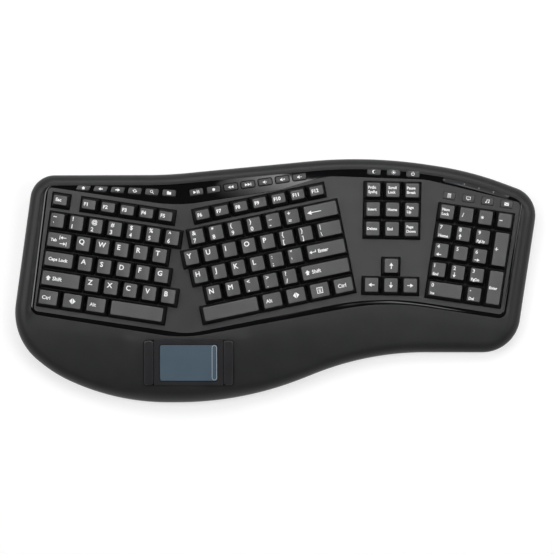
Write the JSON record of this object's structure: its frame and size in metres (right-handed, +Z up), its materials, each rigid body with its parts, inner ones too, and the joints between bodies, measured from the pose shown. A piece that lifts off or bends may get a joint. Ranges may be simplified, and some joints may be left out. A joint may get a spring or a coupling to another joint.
{
  "type": "ergonomic keyboard",
  "caption": "Wide wave-shaped ergonomic computer keyboard with split tilted key blocks, number pad, curved palm rest and a built-in touchpad; keys, buttons, feet and door move.",
  "frame": {"origin": "under the middle of the object, on the plane that its rubber feet rest on", "axes": "+X to the typist's right, +Y away from the typist, +Z up"},
  "size_m": [0.513, 0.2394, 0.0491],
  "materials": {
    "case_black": "satin moulded",
    "tray_black": "fine textured",
    "piano_black": "high gloss",
    "deck_grey": "matte moulded",
    "button_black": "satin",
    "inner_plastic": "as moulded",
    "cap_grey": "fine textured",
    "silicone": "translucent silicone",
    "clear_film": "printed film",
    "plate_steel": "zinc plated",
    "board_green": "solder mask",
    "bezel_black": "satin",
    "pad_slate": "smooth coated",
    "window_dark": "smoked",
    "cell_metal": "wrapped cell",
    "foot_rubber": "soft",
    "legend_white": "pad printed"
  },
  "bodies": {
    "case": {"back_plate": "plate_steel", "batteries": "cell_metal", "bottom_case": "tray_black", "case_screws": "plate_steel", "circuit_membrane": "clear_film", "controller_board": "board_green", "dome_sheet": "silicone", "gloss_trim": "piano_black", "key_carrier": "inner_plastic", "key_deck": "deck_grey", "led_window": "window_dark", "rubber_feet": "foot_rubber", "top_case": "case_black", "touchpad": "pad_slate", "touchpad_bezel": "bezel_black"},
    "battery_door": {"battery_door": "tray_black"},
    "key_arrow_down": {"key_arrow_down": "cap_grey"},
    "key_arrow_left": {"key_arrow_left": "cap_grey"},
    "key_arrow_right": {"key_arrow_right": "cap_grey"},
    "key_arrow_up": {"key_arrow_up": "cap_grey"},
    "key_backspace": {"key_backspace": "cap_grey"},
    "key_caps_lock": {"key_caps_lock": "cap_grey"},
    "key_enter": {"key_enter": "cap_grey"},
    "key_escape": {"key_escape": "cap_grey"},
    "key_pad_enter": {"key_pad_enter": "cap_grey"},
    "key_pad_plus": {"key_pad_plus": "cap_grey"},
    "key_shift_left": {"key_shift_left": "cap_grey"},
    "key_shift_right": {"key_shift_right": "cap_grey"},
    "key_space_left": {"key_space_left": "cap_grey"},
    "key_space_right": {"key_space_right": "cap_grey"},
    "key_tab": {"key_tab": "cap_grey"},
    "keys_apps": {"keys_apps": "button_black"},
    "keys_bottom_row_left": {"keys_bottom_row_left": "cap_grey"},
    "keys_bottom_row_right": {"keys_bottom_row_right": "cap_grey"},
    "keys_browser": {"keys_browser": "button_black"},
    "keys_delete_end_pagedown": {"keys_delete_end_pagedown": "cap_grey"},
    "keys_f1_f5": {"keys_f1_f5": "cap_grey"},
    "keys_f6_f12": {"keys_f6_f12": "cap_grey"},
    "keys_home_row_left": {"keys_home_row_left": "cap_grey"},
    "keys_home_row_right": {"keys_home_row_right": "cap_grey"},
    "keys_insert_home_pageup": {"keys_insert_home_pageup": "cap_grey"},
    "keys_media": {"keys_media": "button_black"},
    "keys_modifiers_left": {"keys_modifiers_left": "cap_grey"},
    "keys_modifiers_right": {"keys_modifiers_right": "cap_grey"},
    "keys_number_left": {"keys_number_left": "cap_grey"},
    "keys_number_right": {"keys_number_right": "cap_grey"},
    "keys_pad_123": {"keys_pad_123": "cap_grey"},
    "keys_pad_456": {"keys_pad_456": "cap_grey"},
    "keys_pad_789": {"keys_pad_789": "cap_grey"},
    "keys_pad_bottom": {"keys_pad_bottom": "cap_grey"},
    "keys_pad_top": {"keys_pad_top": "cap_grey"},
    "keys_power": {"keys_power": "button_black"},
    "keys_print_scroll_pause": {"keys_print_scroll_pause": "cap_grey"},
    "keys_top_row_left": {"keys_top_row_left": "cap_grey"},
    "keys_top_row_right": {"keys_top_row_right": "cap_grey"},
    "power_switch": {"power_switch": "inner_plastic"},
    "tilt_foot_left": {"tilt_foot_left": "tray_black"},
    "tilt_foot_right": {"tilt_foot_right": "tray_black"},
    "touchpad_button_left": {"touchpad_button_left": "button_black"},
    "touchpad_button_right": {"touchpad_button_right": "button_black"}
  },
  "joints": [
    {"name": "tilt_foot_left_hinge", "type": "hinge", "parent": "case", "child": "tilt_foot_left", "pos_m": [-0.20469, 0.06161, 0.0034], "axis": [-1, 0, 0], "range_deg": [0, 100]},
    {"name": "tilt_foot_right_hinge", "type": "hinge", "parent": "case", "child": "tilt_foot_right", "pos_m": [0.20531, 0.06161, 0.0034], "axis": [-1, 0, 0], "range_deg": [0, 100]},
    {"name": "battery_door_slide", "type": "slide", "parent": "case", "child": "battery_door", "axis": [0, -1, 0], "range_m": [0, 0.009]},
    {"name": "touchpad_button_left_press", "type": "slide", "parent": "case", "child": "touchpad_button_left", "axis": [0, 0.181, -0.9835], "range_m": [0, 0.0004], "stiffness_N_per_m": 800, "springref_m": -0.0006},
    {"name": "touchpad_button_right_press", "type": "slide", "parent": "case", "child": "touchpad_button_right", "axis": [0, 0.181, -0.9835], "range_m": [0, 0.0004], "stiffness_N_per_m": 800, "springref_m": -0.0006},
    {"name": "power_switch_slide", "type": "slide", "parent": "case", "child": "power_switch", "axis": [1, 0, 0], "range_m": [0, 0.004]},
    {"name": "key_space_left_press", "type": "slide", "parent": "case", "child": "key_space_left", "axis": [0.0784, 0.0522, -0.9956], "range_m": [0, 0.003], "stiffness_N_per_m": 250, "springref_m": -0.002, "deforming": ["dome_sheet"]},
    {"name": "key_space_right_press", "type": "slide", "parent": "case", "child": "key_space_right", "axis": [-0.0784, 0.0522, -0.9956], "range_m": [0, 0.003], "stiffness_N_per_m": 250, "springref_m": -0.002, "deforming": ["dome_sheet"]},
    {"name": "key_enter_press", "type": "slide", "parent": "case", "child": "key_enter", "axis": [-0.0784, 0.0522, -0.9956], "range_m": [0, 0.003], "stiffness_N_per_m": 250, "springref_m": -0.002, "deforming": ["dome_sheet"]},
    {"name": "keys_home_row_left_press", "type": "slide", "parent": "case", "child": "keys_home_row_left", "axis": [0.0784, 0.0522, -0.9956], "range_m": [0, 0.003], "stiffness_N_per_m": 250, "springref_m": -0.002, "deforming": ["dome_sheet"]},
    {"name": "keys_home_row_right_press", "type": "slide", "parent": "case", "child": "keys_home_row_right", "axis": [-0.0784, 0.0522, -0.9956], "range_m": [0, 0.003], "stiffness_N_per_m": 250, "springref_m": -0.002, "deforming": ["dome_sheet"]},
    {"name": "key_backspace_press", "type": "slide", "parent": "case", "child": "key_backspace", "axis": [-0.0784, 0.0522, -0.9956], "range_m": [0, 0.003], "stiffness_N_per_m": 250, "springref_m": -0.002, "deforming": ["dome_sheet"]},
    {"name": "key_pad_enter_press", "type": "slide", "parent": "case", "child": "key_pad_enter", "axis": [-0.0261, 0.0523, -0.9983], "range_m": [0, 0.003], "stiffness_N_per_m": 250, "springref_m": -0.002, "deforming": ["dome_sheet"]},
    {"name": "key_pad_plus_press", "type": "slide", "parent": "case", "child": "key_pad_plus", "axis": [-0.0261, 0.0523, -0.9983], "range_m": [0, 0.003], "stiffness_N_per_m": 250, "springref_m": -0.002, "deforming": ["dome_sheet"]},
    {"name": "key_escape_press", "type": "slide", "parent": "case", "child": "key_escape", "axis": [0.0784, 0.0522, -0.9956], "range_m": [0, 0.003], "stiffness_N_per_m": 250, "springref_m": -0.002, "deforming": ["dome_sheet"]},
    {"name": "keys_media_press", "type": "slide", "parent": "case", "child": "keys_media", "axis": [-0.0784, 0.0522, -0.9956], "range_m": [0, 0.001], "stiffness_N_per_m": 400, "springref_m": -0.001, "deforming": ["dome_sheet"]},
    {"name": "keys_browser_press", "type": "slide", "parent": "case", "child": "keys_browser", "axis": [0.0784, 0.0522, -0.9956], "range_m": [0, 0.001], "stiffness_N_per_m": 400, "springref_m": -0.001, "deforming": ["dome_sheet"]},
    {"name": "key_arrow_up_press", "type": "slide", "parent": "case", "child": "key_arrow_up", "axis": [-0.0523, 0.0523, -0.9973], "range_m": [0, 0.003], "stiffness_N_per_m": 250, "springref_m": -0.002, "deforming": ["dome_sheet"]},
    {"name": "key_arrow_down_press", "type": "slide", "parent": "case", "child": "key_arrow_down", "axis": [-0.0523, 0.0523, -0.9973], "range_m": [0, 0.003], "stiffness_N_per_m": 250, "springref_m": -0.002, "deforming": ["dome_sheet"]},
    {"name": "keys_pad_456_press", "type": "slide", "parent": "case", "child": "keys_pad_456", "axis": [-0.0261, 0.0523, -0.9983], "range_m": [0, 0.003], "stiffness_N_per_m": 250, "springref_m": -0.002, "deforming": ["dome_sheet"]},
    {"name": "keys_number_left_press", "type": "slide", "parent": "case", "child": "keys_number_left", "axis": [0.0784, 0.0522, -0.9956], "range_m": [0, 0.003], "stiffness_N_per_m": 250, "springref_m": -0.002, "deforming": ["dome_sheet"]},
    {"name": "keys_number_right_press", "type": "slide", "parent": "case", "child": "keys_number_right", "axis": [-0.0784, 0.0522, -0.9956], "range_m": [0, 0.003], "stiffness_N_per_m": 250, "springref_m": -0.002, "deforming": ["dome_sheet"]},
    {"name": "keys_f1_f5_press", "type": "slide", "parent": "case", "child": "keys_f1_f5", "axis": [0.0784, 0.0522, -0.9956], "range_m": [0, 0.003], "stiffness_N_per_m": 250, "springref_m": -0.002, "deforming": ["dome_sheet"]},
    {"name": "keys_f6_f12_press", "type": "slide", "parent": "case", "child": "keys_f6_f12", "axis": [-0.0784, 0.0522, -0.9956], "range_m": [0, 0.003], "stiffness_N_per_m": 250, "springref_m": -0.002, "deforming": ["dome_sheet"]},
    {"name": "key_shift_left_press", "type": "slide", "parent": "case", "child": "key_shift_left", "axis": [0.0784, 0.0522, -0.9956], "range_m": [0, 0.003], "stiffness_N_per_m": 250, "springref_m": -0.002, "deforming": ["dome_sheet"]},
    {"name": "key_shift_right_press", "type": "slide", "parent": "case", "child": "key_shift_right", "axis": [-0.0784, 0.0522, -0.9956], "range_m": [0, 0.003], "stiffness_N_per_m": 250, "springref_m": -0.002, "deforming": ["dome_sheet"]},
    {"name": "key_arrow_left_press", "type": "slide", "parent": "case", "child": "key_arrow_left", "axis": [-0.0523, 0.0523, -0.9973], "range_m": [0, 0.003], "stiffness_N_per_m": 250, "springref_m": -0.002, "deforming": ["dome_sheet"]},
    {"name": "key_arrow_right_press", "type": "slide", "parent": "case", "child": "key_arrow_right", "axis": [-0.0523, 0.0523, -0.9973], "range_m": [0, 0.003], "stiffness_N_per_m": 250, "springref_m": -0.002, "deforming": ["dome_sheet"]},
    {"name": "key_caps_lock_press", "type": "slide", "parent": "case", "child": "key_caps_lock", "axis": [0.0784, 0.0522, -0.9956], "range_m": [0, 0.003], "stiffness_N_per_m": 250, "springref_m": -0.002, "deforming": ["dome_sheet"]},
    {"name": "key_tab_press", "type": "slide", "parent": "case", "child": "key_tab", "axis": [0.0784, 0.0522, -0.9956], "range_m": [0, 0.003], "stiffness_N_per_m": 250, "springref_m": -0.002, "deforming": ["dome_sheet"]},
    {"name": "keys_apps_press", "type": "slide", "parent": "case", "child": "keys_apps", "axis": [-0.0261, 0.0523, -0.9983], "range_m": [0, 0.001], "stiffness_N_per_m": 400, "springref_m": -0.001, "deforming": ["dome_sheet"]},
    {"name": "keys_bottom_row_left_press", "type": "slide", "parent": "case", "child": "keys_bottom_row_left", "axis": [0.0784, 0.0522, -0.9956], "range_m": [0, 0.003], "stiffness_N_per_m": 250, "springref_m": -0.002, "deforming": ["dome_sheet"]},
    {"name": "keys_bottom_row_right_press", "type": "slide", "parent": "case", "child": "keys_bottom_row_right", "axis": [-0.0784, 0.0522, -0.9956], "range_m": [0, 0.003], "stiffness_N_per_m": 250, "springref_m": -0.002, "deforming": ["dome_sheet"]},
    {"name": "keys_delete_end_pagedown_press", "type": "slide", "parent": "case", "child": "keys_delete_end_pagedown", "axis": [-0.0523, 0.0523, -0.9973], "range_m": [0, 0.003], "stiffness_N_per_m": 250, "springref_m": -0.002, "deforming": ["dome_sheet"]},
    {"name": "keys_insert_home_pageup_press", "type": "slide", "parent": "case", "child": "keys_insert_home_pageup", "axis": [-0.0523, 0.0523, -0.9973], "range_m": [0, 0.003], "stiffness_N_per_m": 250, "springref_m": -0.002, "deforming": ["dome_sheet"]},
    {"name": "keys_modifiers_left_press", "type": "slide", "parent": "case", "child": "keys_modifiers_left", "axis": [0.0784, 0.0522, -0.9956], "range_m": [0, 0.003], "stiffness_N_per_m": 250, "springref_m": -0.002, "deforming": ["dome_sheet"]},
    {"name": "keys_modifiers_right_press", "type": "slide", "parent": "case", "child": "keys_modifiers_right", "axis": [-0.0784, 0.0522, -0.9956], "range_m": [0, 0.003], "stiffness_N_per_m": 250, "springref_m": -0.002, "deforming": ["dome_sheet"]},
    {"name": "keys_pad_123_press", "type": "slide", "parent": "case", "child": "keys_pad_123", "axis": [-0.0261, 0.0523, -0.9983], "range_m": [0, 0.003], "stiffness_N_per_m": 250, "springref_m": -0.002, "deforming": ["dome_sheet"]},
    {"name": "keys_pad_789_press", "type": "slide", "parent": "case", "child": "keys_pad_789", "axis": [-0.0261, 0.0523, -0.9983], "range_m": [0, 0.003], "stiffness_N_per_m": 250, "springref_m": -0.002, "deforming": ["dome_sheet"]},
    {"name": "keys_pad_bottom_press", "type": "slide", "parent": "case", "child": "keys_pad_bottom", "axis": [-0.0261, 0.0523, -0.9983], "range_m": [0, 0.003], "stiffness_N_per_m": 250, "springref_m": -0.002, "deforming": ["dome_sheet"]},
    {"name": "keys_pad_top_press", "type": "slide", "parent": "case", "child": "keys_pad_top", "axis": [-0.0261, 0.0523, -0.9983], "range_m": [0, 0.003], "stiffness_N_per_m": 250, "springref_m": -0.002, "deforming": ["dome_sheet"]},
    {"name": "keys_power_press", "type": "slide", "parent": "case", "child": "keys_power", "axis": [-0.0523, 0.0523, -0.9973], "range_m": [0, 0.001], "stiffness_N_per_m": 400, "springref_m": -0.001, "deforming": ["dome_sheet"]},
    {"name": "keys_print_scroll_pause_press", "type": "slide", "parent": "case", "child": "keys_print_scroll_pause", "axis": [-0.0523, 0.0523, -0.9973], "range_m": [0, 0.003], "stiffness_N_per_m": 250, "springref_m": -0.002, "deforming": ["dome_sheet"]},
    {"name": "keys_top_row_left_press", "type": "slide", "parent": "case", "child": "keys_top_row_left", "axis": [0.0784, 0.0522, -0.9956], "range_m": [0, 0.003], "stiffness_N_per_m": 250, "springref_m": -0.002, "deforming": ["dome_sheet"]},
    {"name": "keys_top_row_right_press", "type": "slide", "parent": "case", "child": "keys_top_row_right", "axis": [-0.0784, 0.0522, -0.9956], "range_m": [0, 0.003], "stiffness_N_per_m": 250, "springref_m": -0.002, "deforming": ["dome_sheet"]}
  ]
}
